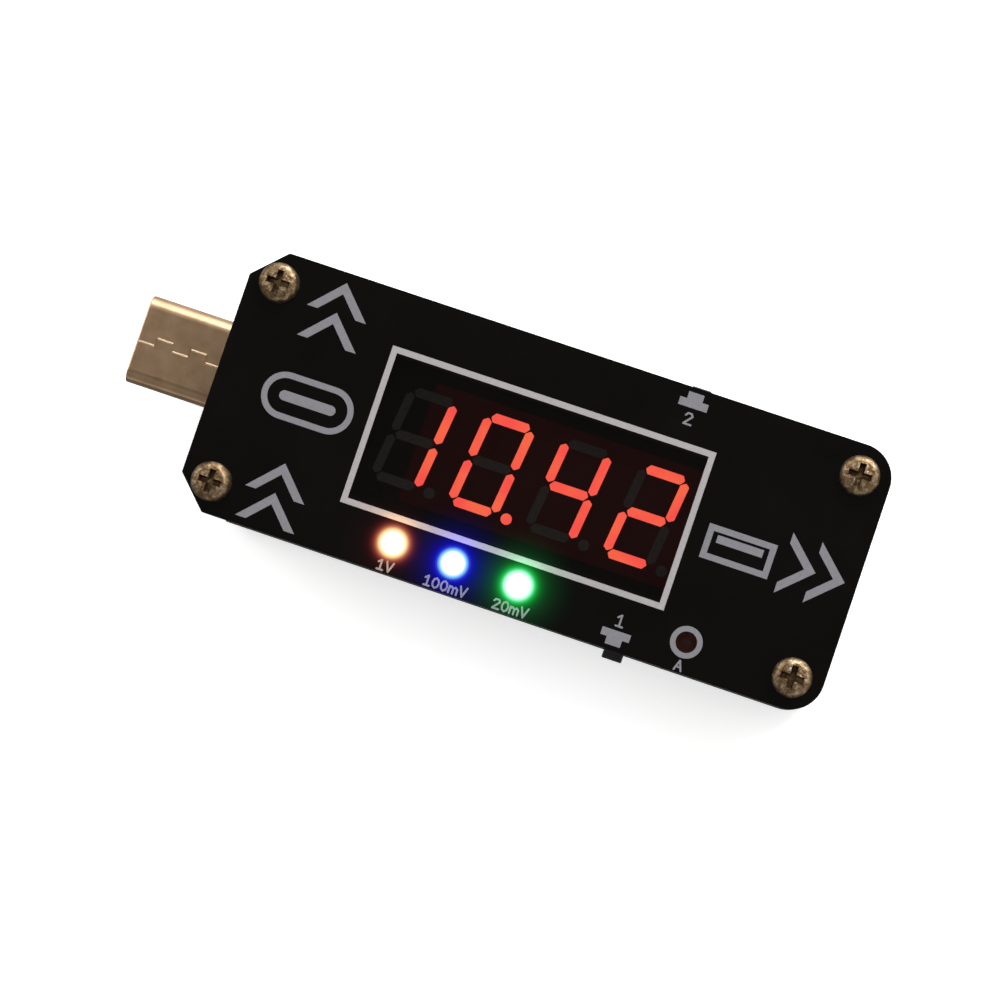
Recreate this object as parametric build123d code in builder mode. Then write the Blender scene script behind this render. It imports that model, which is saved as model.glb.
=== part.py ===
from build123d import *
import os
from math import radians, tan

os.makedirs("parts", exist_ok=True)

# A small inline USB power meter: two smoked acrylic panels, screwed to brass
# standoffs, hold a circuit board with a four-digit display, four round LEDs,
# two side-push keys, a USB-C plug on the left and a USB-A socket on the right.
# The origin is on the rest plane under the middle of the whole object.

# ---- driving dimensions, in millimetres ----
panel_length = 59.0
panel_width = 24.0
panel_thickness = 2.0
corner_cut = 2.8
corner_radius = 3.0
plug_reach = 9.5
screw_span_x = 53.4
screw_span_y = 18.4
head_radius = 1.75
head_height = 1.3
shank_radius = 0.98
bore_radius = 1.0
spacer_height = 3.0
board_thickness = 1.6
standoff_height = 8.0
engraving_depth = 0.12
fit_gap = 0.02

# ---- levels ----
bottom_panel_z = head_height
spacer_z = bottom_panel_z + panel_thickness
board_z = spacer_z + spacer_height
board_top = board_z + board_thickness
top_panel_z = board_top + standoff_height
panel_face = top_panel_z + panel_thickness

# ---- the case plane: its origin is under the middle of the panels ----
case = Plane((plug_reach / 2, 0, 0))


def level(height):
    return case.offset(height)


def ahead(x, y=0.0, z=0.0):
    """A plane facing +X at a point measured from the middle of the case."""
    return Plane(case.from_local_coords((x, y, z)), x_dir=(0, 1, 0), z_dir=(1, 0, 0))


# ---- panels ----
def panel_outline():
    with BuildSketch(Plane.XY) as outline:
        Rectangle(panel_length, panel_width)
        left = outline.vertices().group_by(Axis.X)[0]
        chamfer(left, corner_cut)
        right = outline.vertices().group_by(Axis.X)[-1]
        fillet(right, corner_radius)
    return outline.sketch


def panel(bottom):
    with BuildPart() as plate:
        with BuildSketch(level(bottom)):
            add(panel_outline())
            with GridLocations(screw_span_x, screw_span_y, 2, 2):
                Circle(bore_radius, mode=Mode.SUBTRACT)
        extrude(amount=panel_thickness)
    return plate


bottom_panel = panel(bottom_panel_z)
bottom_panel.part.label = "bottom_panel"
export_step(bottom_panel.part, "parts/bottom_panel.step")

# ---- engraved marks, filled flush with the top panel's face ----
window_centre = (-0.54, -0.04)
window_size = (29.8, 14.45)
window_stroke = 0.54
ring_radius = 1.42
ring_stroke = 0.48
ring_y = -9.22
ring_x = {"amber": -9.86, "blue": -4.3, "green": 1.7, "red": 17.1}
key_x = 11.1
chevron_reach = 2.75
chevron_height = 2.9
chevron_stroke = 1.04
chevron_tips_left = [(-21.07, 11.09), (-21.07, 8.33), (-21.07, -5.63), (-21.07, -8.36)]
chevron_tips_right = [(25.76, 0), (28.4, 0)]
plug_mark = (-20.96, 0)
socket_mark = (18.85, -0.3)
mark_stroke = 0.55
key_mark_y = 10.55
label_stroke = 0.17
label_height = 0.86
label_y = -11.75

# Single-stroke characters on a grid one unit high.
characters = {
    "0": [[(0.33, 1), (0.1, 0.85), (0, 0.5), (0.1, 0.15), (0.33, 0)],
          [(0.33, 0), (0.56, 0.15), (0.66, 0.5), (0.56, 0.85), (0.33, 1)]],
    "1": [[(0.05, 0.75), (0.35, 1), (0.35, 0)], [(0.05, 0), (0.65, 0)]],
    "2": [[(0, 0.76), (0.15, 0.96), (0.48, 0.96), (0.62, 0.74), (0, 0), (0.66, 0)]],
    "m": [[(0, 0), (0, 0.7)], [(0, 0.52), (0.2, 0.7), (0.42, 0.52), (0.42, 0)],
          [(0.42, 0.52), (0.62, 0.7), (0.84, 0.52), (0.84, 0)]],
    "V": [[(0, 1), (0.36, 0), (0.72, 1)]],
    "A": [[(0, 0), (0.36, 1), (0.72, 0)], [(0.14, 0.33), (0.58, 0.33)]],
}
character_gap = 0.24


def character_width(letter):
    return max(x for stroke in characters[letter] for x, y in stroke)


def write_label(text, centre_x, base_y, height):
    """Add the label's strokes to the open sketch, centred on centre_x."""
    total = sum(character_width(letter) for letter in text)
    total += character_gap * (len(text) - 1)
    cursor = -total / 2
    for letter in text:
        for stroke in characters[letter]:
            for start, end in zip(stroke, stroke[1:]):
                a = Vector(centre_x + (cursor + start[0]) * height, base_y + start[1] * height)
                b = Vector(centre_x + (cursor + end[0]) * height, base_y + end[1] * height)
                SlotCenterPoint((a + b) / 2, b, label_stroke)
        cursor += character_width(letter) + character_gap


def chevron(x, y, rotation):
    """Add an arrow head to the open sketch: its tip is at x, y and points up at 0."""
    slope = chevron_height / chevron_reach
    foot = (chevron_height - chevron_stroke) / slope
    with Locations(Location((x, y, 0), (0, 0, rotation))):
        Polygon((0, 0), (-chevron_reach, -chevron_height), (-foot, -chevron_height),
                (0, -chevron_stroke), (foot, -chevron_height), (chevron_reach, -chevron_height))


with BuildPart() as panel_legend:
    with BuildSketch(level(panel_face)):
        with Locations(window_centre):
            Rectangle(*window_size)
            Rectangle(window_size[0] - 2 * window_stroke, window_size[1] - 2 * window_stroke,
                      mode=Mode.SUBTRACT)
        for led_x in ring_x.values():
            with Locations((led_x, ring_y)):
                Circle(ring_radius)
                Circle(ring_radius - ring_stroke, mode=Mode.SUBTRACT)
        for tip_x, tip_y in chevron_tips_left:
            chevron(tip_x, tip_y, 0)
        for tip_x, tip_y in chevron_tips_right:
            chevron(tip_x, tip_y, -90)
        # a plug's mouth, drawn as a round-ended outline with a bar in it
        with Locations(plug_mark):
            SlotOverall(8.4, 4.2)
            SlotOverall(8.4 - 2 * mark_stroke, 4.2 - 2 * mark_stroke, mode=Mode.SUBTRACT)
            SlotOverall(5.2, 0.9)
        # a socket's mouth, drawn as a square outline with a bar in it
        with Locations(socket_mark):
            Rectangle(6.2, 3.1)
            Rectangle(6.2 - 2 * mark_stroke, 3.1 - 2 * mark_stroke, mode=Mode.SUBTRACT)
            with Locations((0, 0.42)):
                Rectangle(4.2, 0.7)
        # a button seen from the side at each key, pointing off the panel
        for side in (-1, 1):
            with Locations((key_x, side * key_mark_y)):
                Rectangle(2.6, 0.7)
            with Locations((key_x, side * (key_mark_y + 0.65))):
                Rectangle(1.4, 0.7)
        write_label("1V", ring_x["amber"], label_y, label_height)
        write_label("100mV", ring_x["blue"], label_y, label_height)
        write_label("20mV", ring_x["green"], label_y, label_height)
        write_label("A", ring_x["red"], label_y, label_height)
        write_label("1", key_x, -9.8, 1.0)
        write_label("2", key_x, 8.74, 1.0)
    extrude(amount=-engraving_depth)
panel_legend.part.label = "panel_legend"
export_step(panel_legend.part, "parts/panel_legend.step")

top_panel = panel(top_panel_z)
with top_panel:
    add(panel_legend.part, mode=Mode.SUBTRACT)
top_panel.part.label = "top_panel"
export_step(top_panel.part, "parts/top_panel.step")

# ---- screws, standoffs and spacers ----
crown_radius = 0.55
recess_length = 2.1
recess_width = 0.56
recess_depth = 0.8
recess_taper = 10
top_screw_length = 5.0
bottom_screw_length = 10.0


def pan_screws(seat, length):
    """Four pan-head screws whose heads stand on the seat plane, shanks below it."""
    crown = seat.offset(head_height)
    with BuildPart() as screws:
        with BuildSketch(seat):
            with GridLocations(screw_span_x, screw_span_y, 2, 2):
                Circle(head_radius)
        extrude(amount=head_height)
        tops = screws.faces().filter_by(lambda f: crown.to_local_coords(f.center()).Z > -fit_gap)
        fillet(tops.edges(), crown_radius)
        with BuildSketch(seat):
            with GridLocations(screw_span_x, screw_span_y, 2, 2):
                Circle(shank_radius)
        extrude(amount=-length)
        with BuildSketch(crown):
            with GridLocations(screw_span_x, screw_span_y, 2, 2):
                Rectangle(recess_length, recess_width)
                Rectangle(recess_width, recess_length)
        extrude(amount=-recess_depth, taper=recess_taper, mode=Mode.SUBTRACT)
    return screws


top_screws = pan_screws(level(panel_face), top_screw_length)
top_screws.part.label = "top_screws"
export_step(top_screws.part, "parts/top_screws.step")

underside = Plane(case.from_local_coords((0, 0, bottom_panel_z)), x_dir=(1, 0, 0), z_dir=(0, 0, -1))
bottom_screws = pan_screws(underside, bottom_screw_length)
bottom_screws.part.label = "bottom_screws"
export_step(bottom_screws.part, "parts/bottom_screws.step")

standoff_flats = 4.0
with BuildPart() as standoffs:
    with BuildSketch(level(board_top)):
        with GridLocations(screw_span_x, screw_span_y, 2, 2):
            RegularPolygon(standoff_flats / 2, 6, major_radius=False)
            Circle(bore_radius, mode=Mode.SUBTRACT)
    extrude(amount=standoff_height)
standoffs.part.label = "standoffs"
export_step(standoffs.part, "parts/standoffs.step")

spacer_radius = 2.0
with BuildPart() as lower_spacers:
    with BuildSketch(level(spacer_z)):
        with GridLocations(screw_span_x, screw_span_y, 2, 2):
            Circle(spacer_radius)
            Circle(bore_radius, mode=Mode.SUBTRACT)
    extrude(amount=spacer_height)
lower_spacers.part.label = "lower_spacers"
export_step(lower_spacers.part, "parts/lower_spacers.step")

# ---- four-digit seven-segment display ----
display_x = -0.6
display_length = 30.1
display_width = 14.0
display_height = 7.2
display_face = board_top + display_height
cavity_roof = 10.4
die_board_thickness = 0.8
display_corner = 0.4
display_wall = 1.0
inner_length = display_length - 2 * display_wall
inner_width = display_width - 2 * display_wall
digit_pitch = 7.18
digit_shift_x = 0.06
digit_shift_y = 0.1
bar_x = 1.97
bar_y = 2.03
row_y = 4.03
flat_length = 3.6
flat_width = 0.86
upright_length = 3.72
upright_width = 0.8
bar_bevel = 0.3
bar_corner = 0.17
slant = 6.0
point_place = (3.19, -4.1)
point_radius = 0.5
pin_radius = 0.25
pin_row_y = 5.08
pin_pitch = 2.54
pins_in_row = 6
lead_end = 5.0

bar_places = {
    "a": (0, row_y, True), "b": (bar_x, bar_y, False), "c": (bar_x, -bar_y, False),
    "d": (0, -row_y, True), "e": (-bar_x, -bar_y, False), "f": (-bar_x, bar_y, False),
    "g": (0, 0, True),
}
shown_bars = ["bc", "abcdef", "bcfg", "abdeg"]
shown_points = [False, True, False, False]


def lean(x, y):
    return (x + y * tan(radians(slant)), y)


def draw_bar(digit_x, name):
    """Add one leaning bar of a digit to the open sketch."""
    centre_x, centre_y, flat = bar_places[name]
    half = (flat_length if flat else upright_length) / 2
    side = (flat_width if flat else upright_width) / 2
    corners = [(half, 0), (half - bar_bevel, side), (bar_bevel - half, side),
               (-half, 0), (bar_bevel - half, -side), (half - bar_bevel, -side)]
    if not flat:
        corners = [(-y, x) for x, y in corners]
    points = [lean(centre_x + x, centre_y + y) for x, y in corners]
    with BuildSketch(mode=Mode.PRIVATE) as bar:
        Polygon(*[(digit_x + x, digit_shift_y + y) for x, y in points], align=None)
        fillet(bar.vertices(), bar_corner)
    add(bar.sketch)


def segments(lit):
    """The coloured light pipes of the bars and points that are lit, or of the others."""
    with BuildPart() as pipes:
        with BuildSketch(level(display_face)):
            for index, shown in enumerate(shown_bars):
                digit_x = display_x + digit_shift_x + (index - 1.5) * digit_pitch
                for name in bar_places:
                    if (name in shown) == lit:
                        draw_bar(digit_x, name)
                if shown_points[index] == lit:
                    point_x, point_y = lean(*point_place)
                    with Locations((digit_x + point_x, digit_shift_y + point_y)):
                        Circle(point_radius)
        extrude(amount=cavity_roof - display_face)
    return pipes


lit_segments = segments(True)
lit_segments.part.label = "lit_segments"
export_step(lit_segments.part, "parts/lit_segments.step")

unlit_segments = segments(False)
unlit_segments.part.label = "unlit_segments"
export_step(unlit_segments.part, "parts/unlit_segments.step")

with BuildPart() as display_housing:
    with BuildSketch(level(board_top)):
        with Locations((display_x, 0)):
            RectangleRounded(display_length, display_width, display_corner)
    extrude(amount=display_height)
    with BuildSketch(level(board_top)):
        with Locations((display_x, 0)):
            Rectangle(inner_length, inner_width)
    extrude(amount=cavity_roof - board_top, mode=Mode.SUBTRACT)
    add(lit_segments.part, mode=Mode.SUBTRACT)
    add(unlit_segments.part, mode=Mode.SUBTRACT)
display_housing.part.label = "display_housing"
export_step(display_housing.part, "parts/display_housing.step")

die_board_z = cavity_roof - die_board_thickness
with BuildPart() as display_die_board:
    with BuildSketch(level(die_board_z)):
        with Locations((display_x, 0)):
            Rectangle(inner_length, inner_width)
    extrude(amount=die_board_thickness)
display_die_board.part.label = "display_die_board"
export_step(display_die_board.part, "parts/display_die_board.step")

with BuildPart() as display_pins:
    with BuildSketch(level(lead_end)):
        with Locations((display_x, 0)):
            with GridLocations(pin_pitch, 2 * pin_row_y, pins_in_row, 2):
                Circle(pin_radius)
    extrude(amount=die_board_z - lead_end)
display_pins.part.label = "display_pins"
export_step(display_pins.part, "parts/display_pins.step")

potting_recess = 0.3
with BuildPart() as display_potting:
    with BuildSketch(level(board_top + potting_recess)):
        with Locations((display_x, 0)):
            Rectangle(inner_length, inner_width)
    extrude(amount=die_board_z - board_top - potting_recess)
    add(display_pins.part, mode=Mode.SUBTRACT)
display_potting.part.label = "display_potting"
export_step(display_potting.part, "parts/display_potting.step")

# ---- four 3 mm round LEDs on long leads, each under its engraved ring ----
led_x = ring_x
led_y = ring_y
led_radius = 1.5
led_flange_radius = 1.9
led_flange_height = 0.8
led_dome_radius = 1.3
led_base = 10.4
led_tip = 15.7
led_lead_width = 0.45
led_lead_gap = 2.54
led_post_top = 12.9
anvil_x = 0.85
anvil_length = 1.0
post_x = 1.0
post_length = 0.7

with BuildPart() as led_leads:
    with BuildSketch(level(lead_end)):
        for place_x in led_x.values():
            with Locations((place_x, led_y)):
                with GridLocations(led_lead_gap, 1, 2, 1):
                    Rectangle(led_lead_width, led_lead_width)
    extrude(amount=led_base - lead_end)
    # inside the lens: an anvil that carries the die, and a thinner post beside it
    with BuildSketch(level(led_base)):
        for place_x in led_x.values():
            with Locations((place_x - anvil_x, led_y)):
                Rectangle(anvil_length, led_lead_width)
            with Locations((place_x + post_x, led_y)):
                Rectangle(post_length, led_lead_width)
    extrude(amount=led_post_top - led_base)
led_leads.part.label = "led_leads"
export_step(led_leads.part, "parts/led_leads.step")

for colour, place_x in led_x.items():
    with BuildPart() as led_lens:
        with BuildSketch(level(led_base)):
            with Locations((place_x, led_y)):
                Circle(led_flange_radius)
        extrude(amount=led_flange_height)
        with BuildSketch(level(led_base)):
            with Locations((place_x, led_y)):
                Circle(led_radius)
        extrude(amount=led_tip - led_base)
        fillet(led_lens.faces().sort_by(Axis.Z)[-1].edges(), led_dome_radius)
        add(led_leads.part, mode=Mode.SUBTRACT)
    led_lens.part.label = f"led_{colour}"
    export_step(led_lens.part, f"parts/led_{colour}.step")

# ---- USB-C plug, set into a notch in the board's left edge ----
plug_y = 1.25
plug_tip = -panel_length / 2 - plug_reach
plug_length = 11.5
plug_width = 8.25
plug_thickness = 2.4
plug_wall = 0.3
plug_axis_z = board_z + board_thickness / 2
plug_mouth_width = 6.75
plug_mouth_height = 0.85
plug_mouth_depth = 6.0
board_notch_edge = -26.1
wing_x = board_notch_edge - 1.3
contact_count = 12
contact_pitch = 0.5
contact_width = 0.25
contact_thickness = 0.12
plug_lip = 0.12
mouth_corner = 0.2
wing_length = 1.9
wing_width = 2.1
wing_span = 9.1
seam_step = 0.72
seam_run = 1.62
seam_start = 0.1
seam_runs = 6
seam_width = 0.1
seam_depth = 0.12


def plug_plane(x):
    return ahead(x, plug_y, plug_axis_z)


with BuildPart() as plug_shell:
    with BuildSketch(plug_plane(plug_tip)):
        SlotOverall(plug_width, plug_thickness)
    extrude(amount=plug_length)
    fillet(plug_shell.faces().sort_by(Axis.X)[0].edges(), plug_lip)
    with BuildSketch(plug_plane(plug_tip)):
        SlotOverall(plug_width - 2 * plug_wall, plug_thickness - 2 * plug_wall)
    extrude(amount=plug_length, mode=Mode.SUBTRACT)
    # solder wings that rest on the board each side of the notch
    with BuildSketch(level(board_top)):
        with Locations((wing_x, plug_y)):
            with GridLocations(1, wing_span, 1, 2):
                Rectangle(wing_length, wing_width)
    extrude(amount=plug_wall)
    # the interlocking seam where the rolled sheet meets itself
    seam_top = plug_axis_z + plug_thickness / 2
    with BuildSketch(level(seam_top)):
        for run in range(seam_runs):
            run_x = plug_tip + seam_start + run * seam_run
            run_y = plug_y + (seam_step / 2 if run % 2 else -seam_step / 2)
            with Locations((run_x + seam_run / 2, run_y)):
                Rectangle(seam_run + seam_width, seam_width)
            with Locations((run_x + seam_run, plug_y)):
                Rectangle(seam_width, seam_step + seam_width)
    extrude(amount=-seam_depth, mode=Mode.SUBTRACT)
plug_shell.part.label = "plug_shell"
export_step(plug_shell.part, "parts/plug_shell.step")

core_front = plug_tip + 0.2
core_rear = board_notch_edge - 0.3
contact_front = plug_tip + 0.7
tail_length = 1.2
with BuildPart() as plug_contacts:
    contact_run = core_rear - contact_front
    tail_x = core_rear + contact_thickness
    tail_end = board_notch_edge + tail_length
    half_board = board_thickness / 2
    for side in (1, -1):
        inner = side * (plug_mouth_height / 2 + contact_thickness / 2)
        outer = side * (half_board + contact_thickness / 2)
        with BuildSketch(plug_plane(contact_front)):
            with Locations((0, inner)):
                with GridLocations(contact_pitch, 1, contact_count, 1):
                    Rectangle(contact_width, contact_thickness)
        extrude(amount=contact_run)
        with BuildSketch(plug_plane(core_rear)):
            with Locations((0, (inner + outer) / 2)):
                with GridLocations(contact_pitch, 1, contact_count, 1):
                    Rectangle(contact_width, abs(outer - inner) + contact_thickness)
        extrude(amount=contact_thickness)
        with BuildSketch(plug_plane(tail_x)):
            with Locations((0, outer)):
                with GridLocations(contact_pitch, 1, contact_count, 1):
                    Rectangle(contact_width, contact_thickness)
        extrude(amount=tail_end - tail_x)
plug_contacts.part.label = "plug_contacts"
export_step(plug_contacts.part, "parts/plug_contacts.step")

latch_thickness = 0.2
latch_width = 0.6
latch_inset = 0.9
latch_length = 4.8
with BuildPart() as plug_latches:
    with BuildSketch(plug_plane(plug_tip + latch_inset)):
        with GridLocations(plug_mouth_width + latch_thickness, 1, 2, 1):
            Rectangle(latch_thickness, latch_width)
    extrude(amount=latch_length)
plug_latches.part.label = "plug_latches"
export_step(plug_latches.part, "parts/plug_latches.step")

with BuildPart() as plug_core:
    with BuildSketch(plug_plane(core_front)):
        SlotOverall(plug_width - 2 * plug_wall, plug_thickness - 2 * plug_wall)
    extrude(amount=core_rear - core_front)
    with BuildSketch(plug_plane(core_front)):
        RectangleRounded(plug_mouth_width, plug_mouth_height, mouth_corner)
    extrude(amount=plug_mouth_depth, mode=Mode.SUBTRACT)
    add(plug_contacts.part, mode=Mode.SUBTRACT)
    add(plug_latches.part, mode=Mode.SUBTRACT)
plug_core.part.label = "plug_core"
export_step(plug_core.part, "parts/plug_core.step")

# ---- USB-A socket, standing on the board's right end ----
socket_rear = 15.0
socket_mouth = panel_length / 2 - 0.1
socket_width = 13.1
socket_height = 5.72
sheet = 0.3
flare_length = 0.6
flare = 0.45
tongue_bottom = board_top + 2.6
tongue_thickness = 1.8
tongue_width = 11.1
tongue_tip = socket_mouth - 1.1
block_front = socket_rear + 2.2
pin_column = socket_rear + 1.1
tongue_corner = 0.25
socket_corner = 0.5
mouth_corner_radius = 0.7
socket_pin_y = (-3.5, -1.0, 1.0, 3.5)
socket_pin_width = 0.9
pin_window = (1.2, 9.4)
pin_window_x = pin_column - 0.2
finger_x = socket_rear + 8.2
finger_span = 6.4
finger_cut = (6.2, 2.6)
finger_size = (5.6, 2.0)
finger_root = (1.0, 3.0)
leg_x = (socket_rear + 3.4, socket_rear + 9.4)
leg_width = 1.2
leg_end = lead_end + 0.4
leg_overlap = 1.0
leg_y = (socket_width - sheet) / 2
socket_axis_z = board_top + socket_height / 2

with BuildPart() as socket_shell:
    with BuildSketch(ahead(socket_rear, 0, socket_axis_z)):
        RectangleRounded(socket_width, socket_height, socket_corner)
    extrude(amount=socket_mouth - flare_length - socket_rear)
    with BuildSketch(ahead(socket_mouth - flare_length, 0, socket_axis_z)):
        RectangleRounded(socket_width, socket_height, socket_corner)
    with BuildSketch(ahead(socket_mouth, 0, socket_axis_z)):
        RectangleRounded(socket_width + 2 * flare, socket_height + 2 * flare, mouth_corner_radius)
    loft()
    with BuildSketch(ahead(socket_rear + sheet, 0, socket_axis_z)):
        Rectangle(socket_width - 2 * sheet, socket_height - 2 * sheet)
    extrude(amount=socket_mouth - flare_length - socket_rear - sheet, mode=Mode.SUBTRACT)
    with BuildSketch(ahead(socket_mouth - flare_length, 0, socket_axis_z)):
        Rectangle(socket_width - 2 * sheet, socket_height - 2 * sheet)
    with BuildSketch(ahead(socket_mouth, 0, socket_axis_z)):
        Rectangle(socket_width - 2 * sheet + 2 * flare, socket_height - 2 * sheet + 2 * flare)
    loft(mode=Mode.SUBTRACT)
    # the floor is open behind the block, where the contact pins go down
    with BuildSketch(level(board_top)):
        with Locations((pin_window_x, 0)):
            Rectangle(*pin_window)
    extrude(amount=sheet, mode=Mode.SUBTRACT)
    # two spring fingers are cut out of the roof
    with BuildSketch(level(board_top + socket_height)):
        with Locations((finger_x, 0)):
            with GridLocations(1, finger_span, 1, 2):
                Rectangle(*finger_cut)
                Rectangle(*finger_size, mode=Mode.SUBTRACT)
        with Locations((finger_x + finger_cut[0] / 2, 0)):
            with GridLocations(1, finger_span, 1, 2):
                Rectangle(*finger_root, mode=Mode.SUBTRACT)
    extrude(amount=-sheet, mode=Mode.SUBTRACT)
    # four legs go through the board
    with BuildSketch(level(leg_end)):
        for place_x in leg_x:
            with Locations((place_x, 0)):
                with GridLocations(1, 2 * leg_y, 1, 2):
                    Rectangle(leg_width, sheet)
    extrude(amount=board_top + leg_overlap - leg_end)
socket_shell.part.label = "socket_shell"
export_step(socket_shell.part, "parts/socket_shell.step")

strip_thickness = 0.2
strip_leg = (0.3, 0.6)
strip_tip = tongue_tip - 0.7
strip_z = tongue_bottom - strip_thickness / 2
with BuildPart() as socket_contacts:
    for pin_y in socket_pin_y:
        with BuildSketch(ahead(pin_column, pin_y, strip_z)):
            Rectangle(socket_pin_width, strip_thickness)
        extrude(amount=strip_tip - pin_column)
        with BuildSketch(level(lead_end)):
            with Locations((pin_column, pin_y)):
                Rectangle(*strip_leg)
        extrude(amount=tongue_bottom - lead_end)
socket_contacts.part.label = "socket_contacts"
export_step(socket_contacts.part, "parts/socket_contacts.step")

inner_bottom = board_top + sheet
inner_height = socket_height - 2 * sheet
with BuildPart() as socket_insulator:
    with BuildSketch(ahead(socket_rear + sheet, 0, inner_bottom + inner_height / 2)):
        Rectangle(socket_width - 2 * sheet, inner_height)
    extrude(amount=block_front - socket_rear - sheet)
    with BuildSketch(ahead(block_front, 0, tongue_bottom + tongue_thickness / 2)):
        Rectangle(tongue_width, tongue_thickness)
    extrude(amount=tongue_tip - block_front)
    fillet(socket_insulator.faces().sort_by(Axis.X)[-1].edges(), tongue_corner)
    add(socket_contacts.part, mode=Mode.SUBTRACT)
socket_insulator.part.label = "socket_insulator"
export_step(socket_insulator.part, "parts/socket_insulator.step")

# ---- two side-push keys, one at each long edge ----
key_back = 7.4
key_width = 6.0
key_height = 3.5
key_front = 10.6
cover_thickness = 0.2
chamber_back = 9.0
chamber_radius = 1.6
dome_radius = 1.45
dome_rise = 0.45
dome_thickness = 0.08
key_travel = 0.25
plunger_back = chamber_back + dome_rise + fit_gap
plunger_radius = 0.6
flange_back = plunger_back + key_travel + 0.05
flange_radius = 1.5
key_corner = 0.2
stem_width = 1.8
stem_height = 1.5
stem_corner = 0.15
stem_tip_radius = 0.12
stem_gap = 0.1
stem_reach = 12.75
clip_width = 4.8
clip_length = 1.4
foot_thickness = 0.2
foot_length = 0.9
foot_width = 0.7
foot_rise = 0.9
foot_gap = 1.8
foot_row = key_back + 1.6


def key_plane(seat, distance, height=key_height / 2):
    """A plane facing off the panel's edge, at a distance from the middle of the case."""
    origin = seat.from_local_coords((0, distance, height))
    return Plane(origin, x_dir=seat.x_dir * -1, z_dir=seat.y_dir)


def key_base(seat):
    with BuildPart() as base:
        with BuildSketch(key_plane(seat, key_back)):
            RectangleRounded(key_width, key_height, key_corner)
        extrude(amount=key_front - key_back)
        with BuildSketch(key_plane(seat, chamber_back)):
            Circle(chamber_radius)
        extrude(amount=key_front - chamber_back, mode=Mode.SUBTRACT)
    return base


def key_cover(seat):
    with BuildPart() as cover:
        with BuildSketch(key_plane(seat, key_front)):
            RectangleRounded(key_width, key_height, key_corner)
            Rectangle(stem_width + 2 * stem_gap, stem_height + 2 * stem_gap, mode=Mode.SUBTRACT)
        extrude(amount=cover_thickness)
        with BuildSketch(seat.offset(key_height)):
            with Locations((0, key_front + cover_thickness - clip_length / 2)):
                Rectangle(clip_width, clip_length)
        extrude(amount=cover_thickness)
        with BuildSketch(key_plane(seat, key_front, key_height)):
            Rectangle(clip_width, 2 * cover_thickness)
        extrude(amount=cover_thickness)
    return cover


def key_button(seat):
    with BuildPart() as button:
        with BuildSketch(key_plane(seat, plunger_back)):
            Circle(plunger_radius)
        extrude(amount=flange_back - plunger_back)
        with BuildSketch(key_plane(seat, flange_back)):
            Circle(flange_radius)
        extrude(amount=key_front - fit_gap - flange_back)
        with BuildSketch(key_plane(seat, key_front - fit_gap)):
            RectangleRounded(stem_width, stem_height, stem_corner)
        extrude(amount=stem_reach - key_front + fit_gap)
        tip = button.faces().sort_by(Axis(seat.origin, seat.y_dir))[-1]
        fillet(tip.edges(), stem_tip_radius)
    return button


def key_dome(seat):
    """A thin snap disc, a shallow cap of a sphere, standing on the chamber's back wall."""
    sphere_radius = (dome_radius**2 + dome_rise**2) / (2 * dome_rise)
    wall = key_plane(seat, chamber_back)
    with BuildPart(wall) as dome:
        with Locations((0, 0, dome_rise - sphere_radius)):
            Sphere(sphere_radius)
            Sphere(sphere_radius - dome_thickness, mode=Mode.SUBTRACT)
        split(bisect_by=wall, keep=Keep.TOP)
    return dome


def key_terminals(seat):
    with BuildPart() as feet:
        with BuildSketch(seat):
            with Locations((0, foot_row)):
                with GridLocations(key_width + foot_length, foot_gap, 2, 2):
                    Rectangle(foot_length, foot_width)
        extrude(amount=foot_thickness)
        with BuildSketch(seat):
            with Locations((0, foot_row)):
                with GridLocations(key_width + foot_thickness, foot_gap, 2, 2):
                    Rectangle(foot_thickness, foot_width)
        extrude(amount=foot_rise)
    return feet


for number, turn in ((1, 180), (2, 0)):
    key_seat = Plane(case.from_local_coords((key_x, 0, board_top))).rotated((0, 0, turn))
    pieces = {"base": key_base(key_seat), "cover": key_cover(key_seat),
              "button": key_button(key_seat), "dome": key_dome(key_seat),
              "terminals": key_terminals(key_seat)}
    for kind, piece in pieces.items():
        piece.part.label = f"k{number}_{kind}"
        export_step(piece.part, f"parts/k{number}_{kind}.step")

# ---- chips and small parts on the board's upper side ----
chip_lift = 0.1
chip_edge = 0.12
lead_sheet = 0.15


def chip_body(x, y, width, depth, height):
    with BuildPart() as body:
        with BuildSketch(level(board_top + chip_lift)):
            with Locations((x, y)):
                Rectangle(width, depth)
        extrude(amount=height)
        chamfer(body.faces().sort_by(Axis.Z)[-1].edges(), chip_edge)
    return body


def gull_wing(edge, reach, width, mid_height):
    """One bent lead that leaves a chip's side at the given edge, along +X, on the board."""
    with BuildPart() as lead:
        with BuildSketch(Plane.XZ.offset(-width / 2)):
            bend = edge + reach * 0.4
            Polygon((edge, mid_height), (bend + lead_sheet, mid_height),
                    (bend + lead_sheet, lead_sheet), (edge + reach, lead_sheet),
                    (edge + reach, 0), (bend, 0), (bend, mid_height - lead_sheet),
                    (edge, mid_height - lead_sheet))
        extrude(amount=width)
    return lead.part


def lead_rows(x, y, edge, reach, width, mid_height, offsets, turns):
    """Rows of gull-wing leads round a chip, one row for each turn in degrees."""
    lead = gull_wing(edge, reach, width, mid_height)
    with BuildPart() as rows:
        for turn in turns:
            side = Location(case.from_local_coords((x, y, board_top)), (0, 0, turn))
            for offset in offsets:
                add((side * Pos(0, offset, 0)) * lead)
    return rows


controller_place = (-20.2, -6.5)
controller_side = 5.0
controller_chip = chip_body(*controller_place, controller_side, controller_side, 1.2)
controller_chip.part.label = "controller_chip"
export_step(controller_chip.part, "parts/controller_chip.step")

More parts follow.
